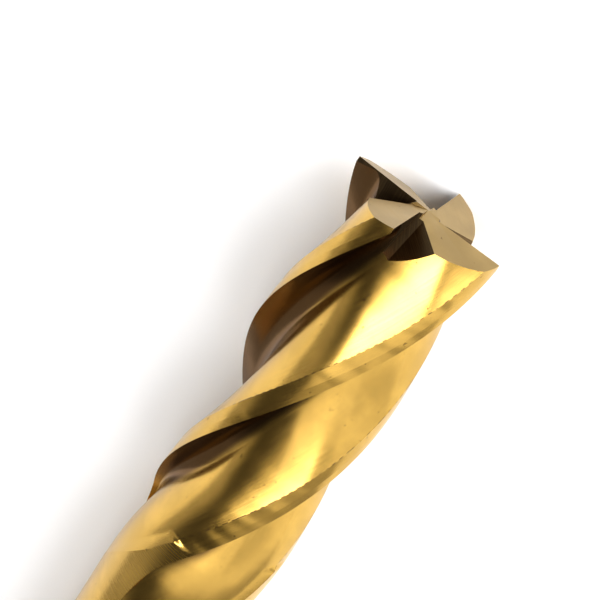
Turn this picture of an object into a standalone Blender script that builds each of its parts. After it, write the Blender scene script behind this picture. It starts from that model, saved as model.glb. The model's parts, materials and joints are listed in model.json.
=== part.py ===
"""Four-flute square end mill, 1/2 inch, lying on its side with the tip towards +X.

The tool is two pieces of steel joined by a friction weld: a fluted cutter head of high-speed
steel, and a shank of tough alloy steel. Both are ground to one diameter and gold coated.
The origin is on the surface that the tool lies on, under its middle.
"""
import math

import bmesh
import bpy
from mathutils import Matrix, Vector

# Overall sizes, in metres
CUT_DIA = 0.0127
SHANK_DIA = 0.0127
OVERALL_LENGTH = 0.08255
CUT_LENGTH = 0.03175
HEAD_LENGTH = 0.050
WELD_GAP = 0.0003

# Fluting, seen from the tip, with the cutting edges leading counter-clockwise
FLUTES = 4
HELIX_ANGLE = math.radians(30.8)
FIRST_TOOTH_ANGLE = math.radians(171.5)
RAKE_ANGLE = math.radians(8.0)
RAKE_FLAT = 0.11 * CUT_DIA
FLOOR_RADIUS = 0.10 * CUT_DIA
FLOOR_END_HEADING = math.radians(90.0)
PRIMARY_LAND = math.radians(6.5)
PRIMARY_DROP = 0.006 * CUT_DIA
WHOLE_LAND = math.radians(15.5)
WHOLE_DROP = 0.0185 * CUT_DIA

# Behind the relief the flute grows shallower and then narrower until it leaves the bar
WASHOUT_START = 1.9 * CUT_DIA
WASHOUT_END = 3.4 * CUT_DIA
WASHOUT_POWER = 1.5
CLOSING_START = 2.7 * CUT_DIA
CLOSING_POWER = 1.45
EDGE_SIDE_CLOSING = math.radians(33.0)
HEEL_SIDE_CLOSING = math.radians(20.0)
HEEL_BLEND = 0.86
RELIEF_RUNOUT = 0.0006

# End teeth, ground from a bar that starts slightly too long
END_STOCK = 0.0002
END_RELIEF_ANGLE = math.radians(14.0)
END_DISH_ANGLE = math.radians(1.0)
GASH_START = 0.075 * CUT_DIA
GASH_FLAT = 0.05 * CUT_DIA
GASH_BEHIND_CENTRE = 0.022 * CUT_DIA
GASH_SLOPE = math.radians(50.0)
GASH_OPENING = math.radians(48.0)
GASH_HOOK_ANGLE = math.radians(3.0)
WHEEL_OVERLAP = 0.00003

# Shank
SHANK_CHAMFER = 0.0008
FLAT_LENGTH = 0.0084
FLAT_DEPTH = 0.00152
FLAT_FROM_REAR = 0.0226
CENTRE_HOLE_DIA = 0.0036
CENTRE_DRILL_DIA = 0.0015
CENTRE_DRILL_DEPTH = 0.0035

# Mesh fineness
LAND_SEGMENTS = 8
FLUTE_SEGMENTS = 12
RING_STEP = 0.00127
ROUND_SEGMENTS = 64
FINE_STEPS = 48

RADIUS = CUT_DIA / 2
PITCH = 2 * math.pi / FLUTES
TWIST = math.tan(HELIX_ANGLE) / RADIUS
TIP_X = OVERALL_LENGTH / 2
REAR_X = -OVERALL_LENGTH / 2
AXIS_Z = SHANK_DIA / 2
CUTTER_REACH = 1.3 * RADIUS


def new_collection(name):
    collection = bpy.data.collections.new(name)
    bpy.context.scene.collection.children.link(collection)
    return collection


def metal(name, colour, roughness):
    material = bpy.data.materials.new(name)
    material.use_nodes = True
    shader = material.node_tree.nodes["Principled BSDF"]
    shader.inputs["Base Color"].default_value = (*colour, 1.0)
    shader.inputs["Roughness"].default_value = roughness
    shader.inputs["Metallic"].default_value = 1.0
    return material


def mesh_object(name, bm, collection):
    bmesh.ops.recalc_face_normals(bm, faces=bm.faces)
    mesh = bpy.data.meshes.new(name)
    bm.to_mesh(mesh)
    bm.free()
    obj = bpy.data.objects.new(name, mesh)
    collection.objects.link(obj)
    return obj


def cut(body, cutter):
    cutter.hide_render = True
    cutter.display_type = "WIRE"
    boolean = body.modifiers.new(cutter.name, "BOOLEAN")
    boolean.operation = "DIFFERENCE"
    boolean.solver = "EXACT"
    boolean.object = cutter


def heading(angle):
    return Vector((math.cos(angle), math.sin(angle)))


def land_drop(angle, relief):
    """How far the land lies inside the cutting circle, at an angle measured from its edge."""
    behind = max(0.0, -angle)
    if behind <= PRIMARY_LAND:
        return relief * PRIMARY_DROP * behind / PRIMARY_LAND
    share = min(1.0, (behind - PRIMARY_LAND) / (WHOLE_LAND - PRIMARY_LAND))
    return relief * (PRIMARY_DROP + (WHOLE_DROP - PRIMARY_DROP) * share)


def arc_points(start, start_heading, turn, radius, count):
    """Points after the start of an arc that turns left for a positive turn."""
    side = math.copysign(1.0, turn)
    centre = start + radius * side * heading(start_heading + math.pi / 2)
    points = []
    for i in range(1, count + 1):
        angle = start_heading + turn * i / count - side * math.pi / 2
        points.append(centre + radius * heading(angle))
    return points


def evenly(points, segments):
    """The same line with equally long segments."""
    lengths = [0.0]
    for a, b in zip(points, points[1:]):
        lengths.append(lengths[-1] + (b - a).length)
    result = []
    j = 0
    for i in range(segments + 1):
        target = lengths[-1] * i / segments
        while j < len(points) - 2 and lengths[j + 1] < target:
            j += 1
        span = max(lengths[j + 1] - lengths[j], 1e-12)
        result.append(points[j].lerp(points[j + 1], min(1.0, (target - lengths[j]) / span)))
    return result


def flute_outline():
    """The ground flute from one cutting edge to the heel of the next tooth."""
    fine = FINE_STEPS
    edge = Vector((RADIUS, 0.0))
    inward = math.pi + RAKE_ANGLE
    points = [edge.lerp(edge + RAKE_FLAT * heading(inward), i / fine) for i in range(fine + 1)]
    points += arc_points(points[-1], inward, FLOOR_END_HEADING - inward, FLOOR_RADIUS, fine)
    heel = (RADIUS - WHOLE_DROP) * heading(PITCH - WHOLE_LAND)
    chord = heel - points[-1]
    left = heading(FLOOR_END_HEADING + math.pi / 2)
    back_radius = chord.length_squared / (2 * left.dot(chord))
    back_turn = 2 * (math.atan2(chord.y, chord.x) - FLOOR_END_HEADING)
    points += arc_points(points[-1], FLOOR_END_HEADING, back_turn, back_radius, 2 * fine)
    return evenly(points, FLUTE_SEGMENTS)


def share_between(value, start, end):
    return min(1.0, max(0.0, (value - start) / (end - start)))


def washout(station):
    """Share of the flute's depth left at a distance behind the tip, and how far it has closed."""
    gone = share_between(station, WASHOUT_START, WASHOUT_END)
    depth = ((1.0 - gone) ** 2 * (1.0 + 2.0 * gone)) ** WASHOUT_POWER
    closed = share_between(station, CLOSING_START, WASHOUT_END) ** CLOSING_POWER
    return depth, closed


def tooth_section(outline, station, relief):
    """Outline of one tooth and the flute in front of it, as (angle, radius) pairs."""
    depth, closed = washout(station)
    run_out = share_between(station, CUT_LENGTH, WASHOUT_END)
    width = PITCH - WHOLE_LAND
    narrower = 1.0 - closed * (EDGE_SIDE_CLOSING + HEEL_SIDE_CLOSING) / width
    flute = []
    for point in outline:
        angle = math.atan2(point.y, point.x)
        drop = WHOLE_DROP * angle / width
        beside_heel = share_between(angle, HEEL_BLEND * width, width)
        left = relief * beside_heel + (1.0 - run_out) * (1.0 - beside_heel)
        radius = RADIUS - left * drop - depth * (RADIUS - drop - point.length)
        flute.append((angle * narrower + closed * EDGE_SIDE_CLOSING, radius))
    heel = flute[-1][0] - PITCH
    primary_count = LAND_SEGMENTS // 2
    secondary_count = LAND_SEGMENTS - primary_count
    section = []
    for i in range(secondary_count):
        angle = heel + (-PRIMARY_LAND - heel) * i / secondary_count
        section.append((angle, RADIUS - land_drop(angle, relief)))
    for i in range(primary_count):
        angle = -PRIMARY_LAND + (flute[0][0] + PRIMARY_LAND) * i / primary_count
        section.append((angle, RADIUS - land_drop(angle, relief)))
    return section + flute[:-1]


def head_sections():
    """Distances from the tip, each with the section there."""
    outline = flute_outline()
    stations = [-END_STOCK]
    for start, end in ((0.0, CUT_LENGTH), (CUT_LENGTH + RELIEF_RUNOUT, WASHOUT_END)):
        steps = round((end - start) / RING_STEP)
        stations += [start + (end - start) * i / steps for i in range(steps + 1)]
    sections = []
    for station in stations:
        relief = 1.0 if station <= CUT_LENGTH else 0.0
        sections.append((station, tooth_section(outline, station, relief)))
    return sections + [(HEAD_LENGTH, sections[-1][1])]


def tool_point(station, angle, radius):
    """World position from a distance behind the tip, an angle about the axis and a radius."""
    return Vector((TIP_X - station, radius * math.cos(angle), AXIS_Z + radius * math.sin(angle)))


def fluted_bar(collection):
    """Loft between the fluted sections and the round bar behind them."""
    bm = bmesh.new()
    rings = []
    for station, section in head_sections():
        turn = FIRST_TOOTH_ANGLE - TWIST * min(station, WASHOUT_END)
        ring = []
        for tooth in range(FLUTES):
            for angle, radius in section:
                place = tool_point(station, turn + tooth * PITCH + angle, radius)
                ring.append(bm.verts.new(place))
        rings.append(ring)
    count = len(rings[0])
    for front, back in zip(rings, rings[1:]):
        for i in range(count):
            j = (i + 1) % count
            bm.faces.new((front[i], front[j], back[j], back[i]))
    bmesh.ops.triangulate(bm, faces=bm.faces)
    bm.faces.new(rings[0])
    bm.faces.new(rings[-1])
    return mesh_object("fluted_cutter_head", bm, collection)


def tooth_frame(tooth):
    """Axes at the tip: along the end edge, ahead of it, and out of the end face."""
    angle = FIRST_TOOTH_ANGLE + tooth * PITCH
    along = Vector((0.0, math.cos(angle), math.sin(angle)))
    ahead = Vector((0.0, -math.sin(angle), math.cos(angle)))
    outward = Vector((1.0, 0.0, 0.0))
    frame = Matrix((along, ahead, outward)).transposed().to_4x4()
    frame.translation = Vector((TIP_X, 0.0, AXIS_Z))
    return frame


def end_relief_cutter(tooth, collection):
    """A box whose lower face falls away behind one end edge and towards the centre."""
    bm = bmesh.new()
    size = 2 * RADIUS
    bmesh.ops.create_cube(bm, size=size)
    bmesh.ops.translate(bm, verts=bm.verts, vec=(size / 2 - WHEEL_OVERLAP, -size / 4, size / 2))
    cutter = mesh_object(f"end_relief_cutter_{tooth + 1}", bm, collection)
    dish = Matrix.Translation((0.0, 0.0, -RADIUS * math.tan(END_DISH_ANGLE)))
    tilt = Matrix.Rotation(END_RELIEF_ANGLE, 4, "X") @ Matrix.Rotation(-END_DISH_ANGLE, 4, "Y")
    cutter.matrix_world = tooth_frame(tooth) @ dish @ tilt
    return cutter


def gash_cutter(tooth, collection):
    """A wedge that opens the chip space in front of one end edge."""
    bm = bmesh.new()
    top = RADIUS / 2
    hook = math.tan(GASH_HOOK_ANGLE)
    start = GASH_START - top / math.tan(GASH_SLOPE)
    for along in (start, CUTTER_REACH):
        bottom = (GASH_START - along) * math.tan(GASH_SLOPE)
        height = top + RADIUS / 50 - bottom
        near = hook * bottom - GASH_BEHIND_CENTRE
        far = near + GASH_FLAT
        bm.verts.new((along, near, bottom))
        bm.verts.new((along, far, bottom))
        bm.verts.new((along, near + hook * height, bottom + height))
        bm.verts.new((along, far + height * math.tan(GASH_OPENING), bottom + height))
    bmesh.ops.convex_hull(bm, input=bm.verts)
    cutter = mesh_object(f"gash_cutter_{tooth + 1}", bm, collection)
    cutter.matrix_world = tooth_frame(tooth)
    return cutter


def cutter_head(parts, cutters, material):
    head = fluted_bar(parts)
    head.data.materials.append(material)
    for tooth in range(FLUTES):
        cut(head, end_relief_cutter(tooth, cutters))
    for tooth in range(FLUTES):
        cut(head, gash_cutter(tooth, cutters))
    return head


def turned(name, profile, collection):
    """Spin a closed outline of (x, radius) points about the tool's axis."""
    bm = bmesh.new()
    verts = [bm.verts.new((x, 0.0, radius)) for x, radius in profile]
    for a, b in zip(verts, verts[1:]):
        bm.edges.new((a, b))
    mesh = bpy.data.meshes.new(name)
    bm.to_mesh(mesh)
    bm.free()
    obj = bpy.data.objects.new(name, mesh)
    collection.objects.link(obj)
    screw = obj.modifiers.new("turn", "SCREW")
    screw.axis = "X"
    screw.steps = ROUND_SEGMENTS
    screw.render_steps = ROUND_SEGMENTS
    screw.use_merge_vertices = True
    screw.merge_threshold = 0.00001
    screw.use_normal_calculate = True
    obj.location = (0.0, 0.0, AXIS_Z)
    return obj


def weldon_flat_cutter(collection):
    bm = bmesh.new()
    bmesh.ops.create_cube(bm, size=1.0)
    bmesh.ops.scale(bm, verts=bm.verts, vec=(FLAT_LENGTH, SHANK_DIA, SHANK_DIA))
    cutter = mesh_object("weldon_flat_cutter", bm, collection)
    cutter.location = (REAR_X + FLAT_FROM_REAR, 0.0, AXIS_Z + SHANK_DIA - FLAT_DEPTH)
    return cutter


def shank(parts, cutters, material):
    radius = SHANK_DIA / 2
    front_x = TIP_X - HEAD_LENGTH - WELD_GAP
    cone_depth = (CENTRE_HOLE_DIA - CENTRE_DRILL_DIA) / 2 / math.tan(math.radians(30.0))
    profile = [
        (front_x, 0.0),
        (front_x, radius),
        (REAR_X + SHANK_CHAMFER, radius),
        (REAR_X, radius - SHANK_CHAMFER),
        (REAR_X, CENTRE_HOLE_DIA / 2),
        (REAR_X + cone_depth, CENTRE_DRILL_DIA / 2),
        (REAR_X + CENTRE_DRILL_DEPTH, CENTRE_DRILL_DIA / 2),
        (REAR_X + CENTRE_DRILL_DEPTH + CENTRE_DRILL_DIA / 4, 0.0),
    ]
    body = turned("shank", profile, parts)
    body.data.materials.append(material)
    cut(body, weldon_flat_cutter(cutters))
    return body


def main():
    for obj in list(bpy.data.objects):
        bpy.data.objects.remove(obj, do_unlink=True)
    parts = new_collection("end_mill")
    cutters = new_collection("cutters")
    cutter_head(parts, cutters, metal("gold_nitride_cutter", (0.72, 0.50, 0.20), 0.22))
    shank(parts, cutters, metal("gold_nitride_shank", (0.68, 0.47, 0.20), 0.28))
    for obj in parts.objects:
        obj.data.shade_smooth()


main()
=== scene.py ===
"""Looks of the four-flute end mill: finely ground, gold coated steel on a pale table."""
import json
import math

import bmesh
import bpy
from mathutils import Matrix, Vector

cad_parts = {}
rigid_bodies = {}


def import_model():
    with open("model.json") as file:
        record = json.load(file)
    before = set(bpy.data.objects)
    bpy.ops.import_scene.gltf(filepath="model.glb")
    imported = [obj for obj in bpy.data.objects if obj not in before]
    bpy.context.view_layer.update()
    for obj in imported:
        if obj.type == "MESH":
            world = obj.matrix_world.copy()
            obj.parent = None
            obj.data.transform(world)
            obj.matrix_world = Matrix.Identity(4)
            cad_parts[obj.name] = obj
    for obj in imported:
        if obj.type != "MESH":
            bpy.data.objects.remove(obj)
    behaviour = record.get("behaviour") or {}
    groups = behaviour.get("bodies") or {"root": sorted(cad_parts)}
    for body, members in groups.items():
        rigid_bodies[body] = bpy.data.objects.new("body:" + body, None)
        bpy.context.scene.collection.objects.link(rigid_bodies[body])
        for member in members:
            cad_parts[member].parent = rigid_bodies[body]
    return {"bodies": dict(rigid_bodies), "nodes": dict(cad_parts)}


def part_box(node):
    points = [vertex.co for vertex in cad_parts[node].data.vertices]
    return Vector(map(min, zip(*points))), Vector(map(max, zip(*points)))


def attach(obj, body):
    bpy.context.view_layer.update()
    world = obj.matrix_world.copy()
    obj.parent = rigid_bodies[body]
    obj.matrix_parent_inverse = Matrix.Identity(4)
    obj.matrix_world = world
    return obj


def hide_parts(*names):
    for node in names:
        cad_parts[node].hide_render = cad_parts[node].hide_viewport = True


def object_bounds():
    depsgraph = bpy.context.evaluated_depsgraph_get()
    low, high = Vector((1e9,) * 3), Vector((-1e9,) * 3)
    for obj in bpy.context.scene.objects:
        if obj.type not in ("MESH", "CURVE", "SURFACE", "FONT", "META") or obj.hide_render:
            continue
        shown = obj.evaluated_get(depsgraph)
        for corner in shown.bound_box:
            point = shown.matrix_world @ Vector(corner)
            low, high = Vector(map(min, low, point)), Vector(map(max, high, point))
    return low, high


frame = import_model()
framed = list(frame["nodes"].values()) + list(frame["bodies"].values())
for obj in list(bpy.data.objects):
    if obj not in framed:
        bpy.data.objects.remove(obj, do_unlink=True)
CAD_LOW, CAD_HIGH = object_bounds()

# Sizes of the tool, in metres
CUT_DIA = 0.0127
RADIUS = CUT_DIA / 2
OVERALL_LENGTH = 0.08255
REAR_X = CAD_LOW.x
TIP_X = REAR_X + OVERALL_LENGTH
AXIS_Z = RADIUS
HEAD_BACK_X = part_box("fluted_cutter_head")[0].x
SHANK_FRONT_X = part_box("shank")[1].x
WELD_X = (HEAD_BACK_X + SHANK_FRONT_X) / 2
CUT_LENGTH = 0.03175

# Fluting, seen from the tip, with the cutting edges leading counter-clockwise
FLUTES = 4
PITCH = 2 * math.pi / FLUTES
HELIX_ANGLE = math.radians(30.8)
TWIST = math.tan(HELIX_ANGLE) / RADIUS
FIRST_TOOTH_ANGLE = math.radians(171.5)
RAKE_ANGLE = math.radians(8.0)
RAKE_FLAT = 0.11 * CUT_DIA
FLOOR_RADIUS = 0.10 * CUT_DIA
FLOOR_END_HEADING = math.radians(90.0)
PRIMARY_LAND = math.radians(6.5)
PRIMARY_DROP = 0.006 * CUT_DIA
WHOLE_LAND = math.radians(15.5)
WHOLE_DROP = 0.0185 * CUT_DIA
WASHOUT_START = 1.9 * CUT_DIA
WASHOUT_END = 3.4 * CUT_DIA
WASHOUT_POWER = 1.5
CLOSING_START = 2.7 * CUT_DIA
CLOSING_POWER = 1.45
EDGE_SIDE_CLOSING = math.radians(33.0)
HEEL_SIDE_CLOSING = math.radians(20.0)
HEEL_BLEND = 0.86
RELIEF_RUNOUT = 0.0006

# End teeth
END_STOCK = 0.0002
END_RELIEF_ANGLE = math.radians(14.0)
END_DISH_ANGLE = math.radians(1.0)
GASH_START = 0.075 * CUT_DIA
GASH_FLAT = 0.05 * CUT_DIA
GASH_BEHIND_CENTRE = 0.022 * CUT_DIA
GASH_SLOPE = math.radians(50.0)
GASH_OPENING = math.radians(48.0)
GASH_HOOK_ANGLE = math.radians(3.0)
WHEEL_OVERLAP = 0.00003
CUTTER_REACH = 1.3 * RADIUS

# Shank
SHANK_CHAMFER = 0.0008
FLAT_LENGTH = 0.0084
FLAT_DEPTH = 0.00152
FLAT_FROM_REAR = 0.0226
CENTRE_HOLE_DIA = 0.0036
CENTRE_DRILL_DIA = 0.0015
CENTRE_DRILL_DEPTH = 0.0035

# Fineness of the meshes
LAND_SEGMENTS = 12
FLUTE_SEGMENTS = 44
RING_STEP = 0.0002
ROUND_SEGMENTS = 192
FINE_STEPS = 60
CREASE = math.radians(30.0)
CORNER_ROUNDING = 0.00015
DRILL_CONE = math.radians(30.0)

# Surfaces of the head, in the order of its material slots
PRIMARY, SECONDARY, FLUTE, BODY, END, GASH = range(6)


def heading(angle):
    return Vector((math.cos(angle), math.sin(angle)))


def land_drop(angle, relief):
    """How far the land lies inside the cutting circle, at an angle measured from its edge."""
    behind = max(0.0, -angle)
    if behind <= PRIMARY_LAND:
        return relief * PRIMARY_DROP * behind / PRIMARY_LAND
    share = min(1.0, (behind - PRIMARY_LAND) / (WHOLE_LAND - PRIMARY_LAND))
    return relief * (PRIMARY_DROP + (WHOLE_DROP - PRIMARY_DROP) * share)


def arc_points(start, start_heading, turn, radius, count):
    """Points after the start of an arc that turns left for a positive turn."""
    side = math.copysign(1.0, turn)
    centre = start + radius * side * heading(start_heading + math.pi / 2)
    points = []
    for i in range(1, count + 1):
        angle = start_heading + turn * i / count - side * math.pi / 2
        points.append(centre + radius * heading(angle))
    return points


def evenly(points, segments):
    """The same line with equally long segments."""
    lengths = [0.0]
    for a, b in zip(points, points[1:]):
        lengths.append(lengths[-1] + (b - a).length)
    result = []
    j = 0
    for i in range(segments + 1):
        target = lengths[-1] * i / segments
        while j < len(points) - 2 and lengths[j + 1] < target:
            j += 1
        span = max(lengths[j + 1] - lengths[j], 1e-12)
        result.append(points[j].lerp(points[j + 1], min(1.0, (target - lengths[j]) / span)))
    return result


def flute_outline():
    """The ground flute from one cutting edge to the heel of the next tooth."""
    fine = FINE_STEPS
    edge = Vector((RADIUS, 0.0))
    inward = math.pi + RAKE_ANGLE
    points = [edge.lerp(edge + RAKE_FLAT * heading(inward), i / fine) for i in range(fine + 1)]
    points += arc_points(points[-1], inward, FLOOR_END_HEADING - inward, FLOOR_RADIUS, fine)
    heel = (RADIUS - WHOLE_DROP) * heading(PITCH - WHOLE_LAND)
    chord = heel - points[-1]
    left = heading(FLOOR_END_HEADING + math.pi / 2)
    back_radius = chord.length_squared / (2 * left.dot(chord))
    back_turn = 2 * (math.atan2(chord.y, chord.x) - FLOOR_END_HEADING)
    points += arc_points(points[-1], FLOOR_END_HEADING, back_turn, back_radius, 2 * fine)
    return evenly(points, FLUTE_SEGMENTS)


def share_between(value, start, end):
    return min(1.0, max(0.0, (value - start) / (end - start)))


def washout(station):
    """Share of the flute's depth left at a distance behind the tip, and how far it has closed."""
    gone = share_between(station, WASHOUT_START, WASHOUT_END)
    depth = ((1.0 - gone) ** 2 * (1.0 + 2.0 * gone)) ** WASHOUT_POWER
    closed = share_between(station, CLOSING_START, WASHOUT_END) ** CLOSING_POWER
    return depth, closed


def tooth_section(outline, station, relief):
    """Outline of one tooth and the flute in front of it, as (angle, radius) pairs."""
    depth, closed = washout(station)
    run_out = share_between(station, CUT_LENGTH, WASHOUT_END)
    width = PITCH - WHOLE_LAND
    narrower = 1.0 - closed * (EDGE_SIDE_CLOSING + HEEL_SIDE_CLOSING) / width
    flute = []
    for point in outline:
        angle = math.atan2(point.y, point.x)
        drop = WHOLE_DROP * angle / width
        beside_heel = share_between(angle, HEEL_BLEND * width, width)
        left = relief * beside_heel + (1.0 - run_out) * (1.0 - beside_heel)
        radius = RADIUS - left * drop - depth * (RADIUS - drop - point.length)
        flute.append((angle * narrower + closed * EDGE_SIDE_CLOSING, radius))
    heel = flute[-1][0] - PITCH
    primary_count = LAND_SEGMENTS // 2
    secondary_count = LAND_SEGMENTS - primary_count
    section = []
    for i in range(secondary_count):
        angle = heel + (-PRIMARY_LAND - heel) * i / secondary_count
        section.append((angle, RADIUS - land_drop(angle, relief)))
    for i in range(primary_count):
        angle = -PRIMARY_LAND + (flute[0][0] + PRIMARY_LAND) * i / primary_count
        section.append((angle, RADIUS - land_drop(angle, relief)))
    return section + flute[:-1]


def section_zones():
    """The surface that follows each point of tooth_section."""
    primary_count = LAND_SEGMENTS // 2
    secondary_count = LAND_SEGMENTS - primary_count
    return [SECONDARY] * secondary_count + [PRIMARY] * primary_count + [FLUTE] * FLUTE_SEGMENTS


RELIEF_END = CUT_LENGTH + RELIEF_RUNOUT


def spread(start, end, step):
    """Evenly spaced values after start, up to and including end."""
    count = max(1, round((end - start) / step))
    return [start + (end - start) * i / count for i in range(1, count + 1)]


def relief_share(station):
    """The land relief runs out into the round body over a short blend."""
    share = min(1.0, max(0.0, (station - CUT_LENGTH) / RELIEF_RUNOUT))
    return 1.0 - share * share * (3.0 - 2.0 * share)


def head_sections():
    """Distances from the tip, each with the section there."""
    outline = flute_outline()
    stations = [-END_STOCK, 0.0] + spread(0.0, CUT_LENGTH, RING_STEP)
    stations += spread(CUT_LENGTH, RELIEF_END, RELIEF_RUNOUT / 6)
    stations += spread(RELIEF_END, WASHOUT_END, RING_STEP)
    sections = []
    for station in stations:
        sections.append((station, tooth_section(outline, station, relief_share(station))))
    full_round = sections[-1][1]
    body = spread(WASHOUT_END, TIP_X - WELD_X, RING_STEP * 8)
    return sections + [(station, full_round) for station in body]


def tool_point(station, angle, radius):
    """World position from a distance behind the tip, an angle about the axis and a radius."""
    return Vector((TIP_X - station, radius * math.cos(angle), AXIS_Z + radius * math.sin(angle)))


def show(name, mesh):
    obj = bpy.data.objects.new(name, mesh)
    bpy.context.scene.collection.objects.link(obj)
    return obj


def bm_object(name, bm, materials=()):
    bmesh.ops.recalc_face_normals(bm, faces=bm.faces)
    mesh = bpy.data.meshes.new(name)
    bm.to_mesh(mesh)
    bm.free()
    for material in materials:
        mesh.materials.append(material)
    return show(name, mesh)


def fluted_bar(materials):
    """Loft between the fluted sections and the round bar behind them."""
    bm = bmesh.new()
    rings = []
    sections = head_sections()
    for station, section in sections:
        turn = FIRST_TOOTH_ANGLE - TWIST * min(station, WASHOUT_END)
        ring = []
        for tooth in range(FLUTES):
            for angle, radius in section:
                place = tool_point(station, turn + tooth * PITCH + angle, radius)
                ring.append(bm.verts.new(place))
        rings.append(ring)
    zones = section_zones() * FLUTES
    count = len(rings[0])
    for k, (front, back) in enumerate(zip(rings, rings[1:])):
        station = (sections[k][0] + sections[k + 1][0]) / 2
        for i in range(count):
            j = (i + 1) % count
            face = bm.faces.new((front[i], front[j], back[j], back[i]))
            face.material_index = zones[i]
            if station > WASHOUT_END or (zones[i] != FLUTE and station > RELIEF_END):
                face.material_index = BODY
    bmesh.ops.triangulate(bm, faces=bm.faces)
    bm.faces.new(rings[0]).material_index = END
    bm.faces.new(rings[-1]).material_index = BODY
    return bm_object("coated_cutter_head", bm, materials)


def tooth_frame(tooth):
    """Axes at the tip: along the end edge, ahead of it, and out of the end face."""
    angle = FIRST_TOOTH_ANGLE + tooth * PITCH
    along = Vector((0.0, math.cos(angle), math.sin(angle)))
    ahead = Vector((0.0, -math.sin(angle), math.cos(angle)))
    outward = Vector((1.0, 0.0, 0.0))
    axes = Matrix((along, ahead, outward)).transposed().to_4x4()
    axes.translation = Vector((TIP_X, 0.0, AXIS_Z))
    return axes


def end_relief_cutter(tooth, material):
    """A box whose lower face falls away behind one end edge and towards the centre."""
    bm = bmesh.new()
    size = 2 * RADIUS
    bmesh.ops.create_cube(bm, size=size)
    bmesh.ops.translate(bm, verts=bm.verts, vec=(size / 2 - WHEEL_OVERLAP, -size / 4, size / 2))
    cutter = bm_object(f"end_relief_cutter_{tooth + 1}", bm, [material])
    dish = Matrix.Translation((0.0, 0.0, -RADIUS * math.tan(END_DISH_ANGLE)))
    tilt = Matrix.Rotation(END_RELIEF_ANGLE, 4, "X") @ Matrix.Rotation(-END_DISH_ANGLE, 4, "Y")
    cutter.matrix_world = tooth_frame(tooth) @ dish @ tilt
    return cutter


def gash_cutter(tooth, material):
    """A wedge that opens the chip space in front of one end edge."""
    bm = bmesh.new()
    top = RADIUS / 2
    hook = math.tan(GASH_HOOK_ANGLE)
    start = GASH_START - top / math.tan(GASH_SLOPE)
    for along in (start, CUTTER_REACH):
        bottom = (GASH_START - along) * math.tan(GASH_SLOPE)
        height = top + RADIUS / 50 - bottom
        near = hook * bottom - GASH_BEHIND_CENTRE
        far = near + GASH_FLAT
        bm.verts.new((along, near, bottom))
        bm.verts.new((along, far, bottom))
        bm.verts.new((along, near + hook * height, bottom + height))
        bm.verts.new((along, far + height * math.tan(GASH_OPENING), bottom + height))
    bmesh.ops.convex_hull(bm, input=bm.verts)
    cutter = bm_object(f"gash_cutter_{tooth + 1}", bm, [material])
    cutter.matrix_world = tooth_frame(tooth)
    return cutter


def carve(body, cutters):
    """Cuts each cutter from the body and keeps only the result."""
    for cutter in cutters:
        boolean = body.modifiers.new(cutter.name, "BOOLEAN")
        boolean.operation = "DIFFERENCE"
        boolean.solver = "EXACT"
        boolean.material_mode = "TRANSFER"
        boolean.object = cutter
    depsgraph = bpy.context.evaluated_depsgraph_get()
    carved = bpy.data.meshes.new_from_object(body.evaluated_get(depsgraph))
    body.modifiers.clear()
    body.data = carved
    for cutter in cutters:
        bpy.data.objects.remove(cutter, do_unlink=True)


def sharpen(mesh, crease):
    """Smooth shading that breaks between surfaces and across creases."""
    bm = bmesh.new()
    bm.from_mesh(mesh)
    for face in bm.faces:
        face.smooth = True
    for edge in bm.edges:
        if len(edge.link_faces) != 2:
            continue
        first, second = edge.link_faces
        zones = {first.material_index, second.material_index}
        same = len(zones) == 1 or zones == {PRIMARY, BODY} or zones == {SECONDARY, BODY}
        edge.smooth = same and edge.calc_face_angle(0.0) < crease
    bm.to_mesh(mesh)
    bm.free()


def turned(name, profile, materials):
    """Spin an outline of (x, radius) points about the tool's axis."""
    bm = bmesh.new()
    rings = []
    for x, radius in profile:
        if radius == 0.0:
            rings.append([bm.verts.new((x, 0.0, AXIS_Z))])
            continue
        angles = [2 * math.pi * i / ROUND_SEGMENTS for i in range(ROUND_SEGMENTS)]
        rings.append([bm.verts.new(tool_point(TIP_X - x, angle, radius)) for angle in angles])
    for first, second in zip(rings, rings[1:]):
        for i in range(ROUND_SEGMENTS):
            j = (i + 1) % ROUND_SEGMENTS
            if len(first) == 1:
                bm.faces.new((first[0], second[i], second[j]))
            elif len(second) == 1:
                bm.faces.new((first[j], first[i], second[0]))
            else:
                bm.faces.new((first[j], first[i], second[i], second[j]))
    for face in bm.faces:
        face.material_index = BODY
    return bm_object(name, bm, materials)


def rounded(profile, corner, radius, segments=4):
    """The same outline with one corner rounded."""
    before, at, after = (Vector(profile[corner + k]) for k in (-1, 0, 1))
    start = at + (before - at).normalized() * radius
    end = at + (after - at).normalized() * radius
    curve = []
    for i in range(segments + 1):
        t = i / segments
        curve.append(tuple(start.lerp(at, t).lerp(at.lerp(end, t), t)))
    return profile[:corner] + curve + profile[corner + 1:]


def shank_profile():
    radius = RADIUS
    cone_depth = (CENTRE_HOLE_DIA - CENTRE_DRILL_DIA) / 2 / math.tan(DRILL_CONE)
    profile = [
        (WELD_X, 0.0),
        (WELD_X, radius),
        (REAR_X + SHANK_CHAMFER, radius),
        (REAR_X, radius - SHANK_CHAMFER),
        (REAR_X, CENTRE_HOLE_DIA / 2),
        (REAR_X + cone_depth, CENTRE_DRILL_DIA / 2),
        (REAR_X + CENTRE_DRILL_DEPTH, CENTRE_DRILL_DIA / 2),
        (REAR_X + CENTRE_DRILL_DEPTH + CENTRE_DRILL_DIA / 4, 0.0),
    ]
    for corner in (4, 3, 2):
        profile = rounded(profile, corner, CORNER_ROUNDING)
    return profile


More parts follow.
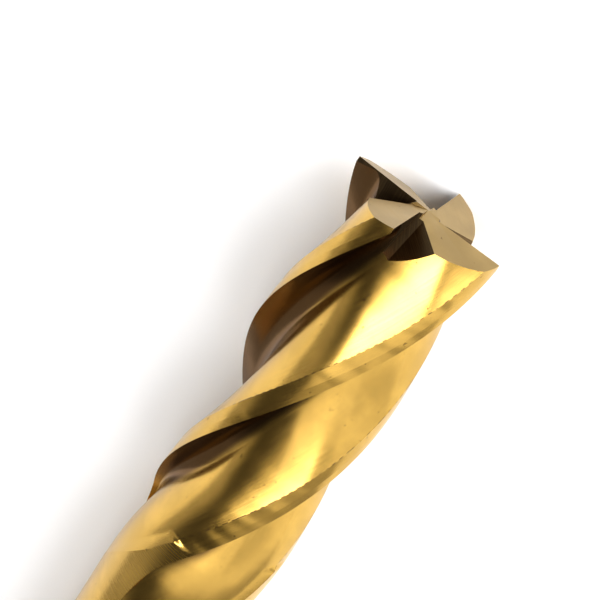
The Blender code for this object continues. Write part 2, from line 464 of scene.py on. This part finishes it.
def weldon_flat_cutter(material):
    bm = bmesh.new()
    bmesh.ops.create_cube(bm, size=1.0)
    bmesh.ops.scale(bm, verts=bm.verts, vec=(FLAT_LENGTH, CUT_DIA, CUT_DIA))
    middle = (REAR_X + FLAT_FROM_REAR, 0.0, AXIS_Z + CUT_DIA - FLAT_DEPTH)
    bmesh.ops.translate(bm, verts=bm.verts, vec=middle)
    return bm_object("weldon_flat_cutter", bm, [material])


def grind_coordinates(mesh):
    """Maps for the materials: grind, in centimetres, has U along the grinding marks and V across
    them, and tooth has degrees ahead of the cutting edge and the share of flute depth left."""
    layer = mesh.uv_layers.new(name="grind")
    tooth_layer = mesh.uv_layers.new(name="tooth")
    turn = math.cos(HELIX_ANGLE)
    for polygon in mesh.polygons:
        zone = polygon.material_index
        centre = polygon.center
        middle = math.atan2(centre.z - AXIS_Z, centre.y)
        tooth = round((middle - FIRST_TOOTH_ANGLE) / PITCH)
        for loop in polygon.loop_indices:
            place = mesh.vertices[mesh.loops[loop].vertex_index].co
            station = TIP_X - place.x
            radial = Vector((place.y, place.z - AXIS_Z))
            angle = math.atan2(radial.y, radial.x) - middle
            angle = middle + math.remainder(angle, 2 * math.pi)
            if zone == BODY:
                along, across = angle * RADIUS, station
            elif zone in (END, GASH):
                local = tooth_frame(tooth).inverted() @ place
                along, across = local.x + local.y, local.y - local.x
            else:
                lead = angle + TWIST * min(station, WASHOUT_END)
                along, across = station / turn, lead * RADIUS + RADIUS - radial.length
            layer.data[loop].uv = (along * 100, across * 100)
            from_edge = angle + TWIST * min(station, WASHOUT_END) - FIRST_TOOTH_ANGLE
            middle_of_pitch = PITCH / 2 - WHOLE_LAND
            from_edge = math.remainder(from_edge - middle_of_pitch, PITCH) + middle_of_pitch
            tooth_layer.data[loop].uv = (math.degrees(from_edge), washout(station)[0])


class Nodes:
    """Short calls for building a node tree."""

    def __init__(self, tree):
        self.tree = tree

    def add(self, kind, inputs=None, **settings):
        node = self.tree.nodes.new(kind)
        for key, value in settings.items():
            setattr(node, key, value)
        for key, value in (inputs or {}).items():
            if isinstance(value, bpy.types.NodeSocket):
                self.tree.links.new(value, node.inputs[key])
            else:
                node.inputs[key].default_value = value
        return node

    def math(self, operation, *values):
        node = self.add("ShaderNodeMath", dict(enumerate(values)), operation=operation)
        return node.outputs[0]

    def blend(self, share, first, second):
        node = self.add("ShaderNodeMix", {0: share, 2: first, 3: second})
        return node.outputs[0]

    def tint(self, share, first, second):
        node = self.add("ShaderNodeMix", {0: share, 6: first, 7: second}, data_type="RGBA")
        return node.outputs[2]

    def step(self, value, low, high, to_low=0.0, to_high=1.0):
        inputs = {0: value, 1: low, 2: high, 3: to_low, 4: to_high}
        node = self.add("ShaderNodeMapRange", inputs, interpolation_type="SMOOTHSTEP")
        return node.outputs[0]

    def noise(self, vector, scale, detail=3.0, roughness=0.55):
        inputs = {"Vector": vector, "Scale": scale, "Detail": detail, "Roughness": roughness}
        return self.add("ShaderNodeTexNoise", inputs).outputs[0]

    def scaled(self, vector, scale):
        return self.add("ShaderNodeMapping", {"Vector": vector, "Scale": scale}).outputs[0]


# Camera, above the tip and looking down along the flutes
CAMERA_PLACE = Vector((0.07666, 0.0, 0.09559))
CAMERA_AIM = Vector((0.02958, 0.00415, 0.00635))
CAMERA_ROLL = math.radians(-141.344)
CAMERA_LENS = 81.59


def make_camera():
    camera = bpy.data.objects.new("camera", bpy.data.cameras.new("camera"))
    bpy.context.scene.collection.objects.link(camera)
    camera.data.sensor_width = 36.0
    camera.data.lens = CAMERA_LENS
    camera.data.clip_start, camera.data.clip_end = 0.002, 10.0
    level = (CAMERA_AIM - CAMERA_PLACE).to_track_quat("-Z", "Y").to_matrix().to_4x4()
    roll = Matrix.Rotation(CAMERA_ROLL, 4, "Z")
    camera.matrix_world = Matrix.Translation(CAMERA_PLACE) @ level @ roll
    bpy.context.scene.camera = camera
    return camera


# Soft studio light: patches of a dome, each with its middle and half size in degrees from the
# zenith towards +X and +Y, its turn, the width of its soft border, and its brightness
DOME_BRIGHTNESS = 0.40
DOME_PATCHES = (
    ((66.0, 10.0), (34.0, 70.0), 0.0, 16.0, 0.55),
    ((30.0, 40.0), (16.0, 46.0), 0.0, 10.0, 0.10),
    ((11.0, 20.0), (5.0, 42.0), 0.0, 5.0, 0.20),
    ((30.0, -48.0), (20.0, 26.0), 0.0, 8.0, 5.4),
    ((-12.0, -68.0), (12.0, 34.0), 0.0, 8.0, 1.1),
    ((-10.0, -62.0), (3.0, 22.0), 0.0, 4.0, 0.45),
    ((-38.0, 12.0), (15.0, 62.0), -25.0, 12.0, 0.05),
    ((-13.0, -8.0), (8.0, 27.0), 0.0, 7.0, 1.1),
    ((2.5, 16.0), (5.0, 32.0), 0.0, 4.0, 6.0),
)


def light_dome():
    world = bpy.data.worlds.new("studio_light")
    world.use_nodes = True
    bpy.context.scene.world = world
    world.node_tree.nodes.clear()
    nodes = Nodes(world.node_tree)
    direction = nodes.add("ShaderNodeTexCoord").outputs["Generated"]
    split = nodes.add("ShaderNodeSeparateXYZ", {0: direction}).outputs
    flat = nodes.math("SQRT", nodes.math("ADD", nodes.math("MULTIPLY", split[0], split[0]),
                                         nodes.math("MULTIPLY", split[1], split[1])))
    from_zenith = nodes.math("ARCCOSINE", split[2])
    reach = nodes.math("DIVIDE", nodes.math("MULTIPLY", from_zenith, math.degrees(1.0)),
                       nodes.math("MAXIMUM", flat, 0.0001))
    x = nodes.math("MULTIPLY", split[0], reach)
    y = nodes.math("MULTIPLY", split[1], reach)
    light = DOME_BRIGHTNESS
    for middle, half, turn, border, value in DOME_PATCHES:
        c, s = math.cos(math.radians(turn)), math.sin(math.radians(turn))
        dx = nodes.math("SUBTRACT", x, middle[0])
        dy = nodes.math("SUBTRACT", y, middle[1])
        u = nodes.math("ADD", nodes.math("MULTIPLY", dx, c), nodes.math("MULTIPLY", dy, s))
        v = nodes.math("SUBTRACT", nodes.math("MULTIPLY", dy, c), nodes.math("MULTIPLY", dx, s))
        share = None
        for distance, size in ((u, half[0]), (v, half[1])):
            distance = nodes.math("ABSOLUTE", distance)
            inside = nodes.step(distance, size - border / 2, size + border / 2, 1.0, 0.0)
            share = inside if share is None else nodes.math("MULTIPLY", share, inside)
        light = nodes.blend(share, light, value)
    background = nodes.add("ShaderNodeBackground", {"Color": (1.0, 1.0, 1.0, 1.0), "Strength": light})
    output = nodes.add("ShaderNodeOutputWorld")
    nodes.tree.links.new(background.outputs[0], output.inputs[0])


TABLE_GAP = 0.00002
TABLE_SIZE = 2.0
TABLE_COLOUR = (0.93, 0.93, 0.94, 1.0)


def make_floor():
    bm = bmesh.new()
    bmesh.ops.create_grid(bm, x_segments=8, y_segments=8, size=TABLE_SIZE)
    material = bpy.data.materials.new("pale_table")
    material.use_nodes = True
    shader = material.node_tree.nodes["Principled BSDF"]
    shader.inputs["Base Color"].default_value = TABLE_COLOUR
    shader.inputs["Roughness"].default_value = 0.6
    floor = bm_object("table", bm, [material])
    floor.location.z = -TABLE_GAP
    return floor


# Colours and grinding marks of the coated steel, with painted shade in the gashes and just ahead of
# the cutting edges
GOLD = (0.68, 0.43, 0.11)
END_BEIGE = (0.38, 0.27, 0.12)
# Painted shade: the gashes are gold coated like the rest, drawn near black for the deep shade in them
GASH_PAINTED_SHADE = (0.07, 0.045, 0.025)
WORN_GOLD = (0.55, 0.40, 0.17, 1.0)
PIT_BROWN = (0.10, 0.05, 0.02, 1.0)
# Painted shade: the gold flute is drawn brown just ahead of each cutting edge, where the deep flute
# lies in shade
RAKE_SHADE_FADE_DEGREES = (5.0, 17.0)
RAKE_PAINTED_SHADE = (0.13, 0.07, 0.035, 1.0)
GRIND_LINES = (2.0, 160.0, 1.0)
GRIND_WAVES = (6.0, 1.0, 1.0)
LINE_HEIGHT = 0.000004
LINE_WEAR = 0.12
LAND_WAVES = 0.00009
FLUTE_WAVES = 0.00001
CLOUD_SCALE = 260.0
CLOUD_DARKNESS = 0.82
PIT_SCALE = 1900.0
PIT_STRENGTH = 0.55


def coated_steel(name, colour, roughness, waves=0.0, rake_shade=0.0):
    """Coated steel with fine grinding marks along U of the grind map.

    waves is the height of a slight waviness along the marks, in metres, and the last argument
    sets how strongly painted shade darkens the surface towards brown just ahead of the cutting edge.
    """
    material = bpy.data.materials.new(name)
    material.use_nodes = True
    nodes = Nodes(material.node_tree)
    shader = material.node_tree.nodes["Principled BSDF"]
    shader.inputs["Metallic"].default_value = 1.0
    grind = nodes.add("ShaderNodeUVMap", uv_map="grind").outputs[0]
    place = nodes.add("ShaderNodeTexCoord").outputs["Object"]
    lines = nodes.noise(nodes.scaled(grind, GRIND_LINES), 1.0, 4.0, 0.65)
    cloud = nodes.noise(place, CLOUD_SCALE, 3.0)
    dark = tuple(c * CLOUD_DARKNESS for c in colour)
    base = nodes.tint(nodes.step(cloud, 0.35, 0.68), (*dark, 1.0), (*colour, 1.0))
    lined = nodes.tint(nodes.step(lines, 0.30, 0.75, 0.0, LINE_WEAR), base, WORN_GOLD)
    pits = nodes.step(nodes.noise(place, PIT_SCALE, 2.0), 0.70, 0.76, 0.0, PIT_STRENGTH)
    lined = nodes.tint(pits, lined, PIT_BROWN)
    # Painted shade: brown darkening just ahead of the cutting edge, fading out where the flute runs
    # shallow
    if rake_shade:
        tooth = nodes.add("ShaderNodeUVMap", uv_map="tooth").outputs[0]
        split = nodes.add("ShaderNodeSeparateXYZ", {0: tooth}).outputs
        rake_shade_mask = nodes.step(split[0], *RAKE_SHADE_FADE_DEGREES, rake_shade, 0.0)
        rake_shade_mask = nodes.math("MULTIPLY", rake_shade_mask, nodes.step(split[1], 0.15, 0.6))
        lined = nodes.tint(rake_shade_mask, lined, RAKE_PAINTED_SHADE)
    material.node_tree.links.new(lined, shader.inputs["Base Color"])
    rough = nodes.step(lines, 0.25, 0.8, roughness * 0.8, roughness * 1.3)
    material.node_tree.links.new(rough, shader.inputs["Roughness"])
    bump = nodes.add("ShaderNodeBump", {"Strength": 0.35, "Distance": LINE_HEIGHT, "Height": lines})
    normal = bump.outputs[0]
    if waves:
        wavy = nodes.noise(nodes.scaled(grind, GRIND_WAVES), 1.0, 0.0)
        settings = {"Strength": 1.0, "Distance": waves, "Height": wavy, "Normal": normal}
        normal = nodes.add("ShaderNodeBump", settings).outputs[0]
    material.node_tree.links.new(normal, shader.inputs["Normal"])
    return material


materials = [
    coated_steel("land_gold", GOLD, 0.20, waves=LAND_WAVES),
    coated_steel("relief_gold", GOLD, 0.20, waves=LAND_WAVES),
    # Flutes: gold with painted shade darkening them just ahead of the cutting edges
    coated_steel("flute_gold", GOLD, 0.20, waves=FLUTE_WAVES, rake_shade=0.92),
    coated_steel("body_gold", GOLD, 0.24),
    coated_steel("end_gold", END_BEIGE, 0.36),
    # Gash faces: near black painted shade in place of the gold coating
    coated_steel("gash_gold_painted_shade", GASH_PAINTED_SHADE, 0.35),
]
head = fluted_bar(materials)
carve(head, [end_relief_cutter(tooth, materials[END]) for tooth in range(FLUTES)]
      + [gash_cutter(tooth, materials[GASH]) for tooth in range(FLUTES)])
sharpen(head.data, CREASE)
grind_coordinates(head.data)

rear = turned("coated_shank", shank_profile(), materials)
carve(rear, [weldon_flat_cutter(materials[END])])
sharpen(rear.data, CREASE)
grind_coordinates(rear.data)

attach(head, "root")
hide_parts("fluted_cutter_head")
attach(rear, "root")
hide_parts("shank")

make_floor()
make_camera()
light_dome()
bpy.context.scene.view_settings.view_transform = "Standard"
bpy.context.scene.view_settings.look = "Medium High Contrast"
bpy.context.scene.view_settings.exposure = 0.25
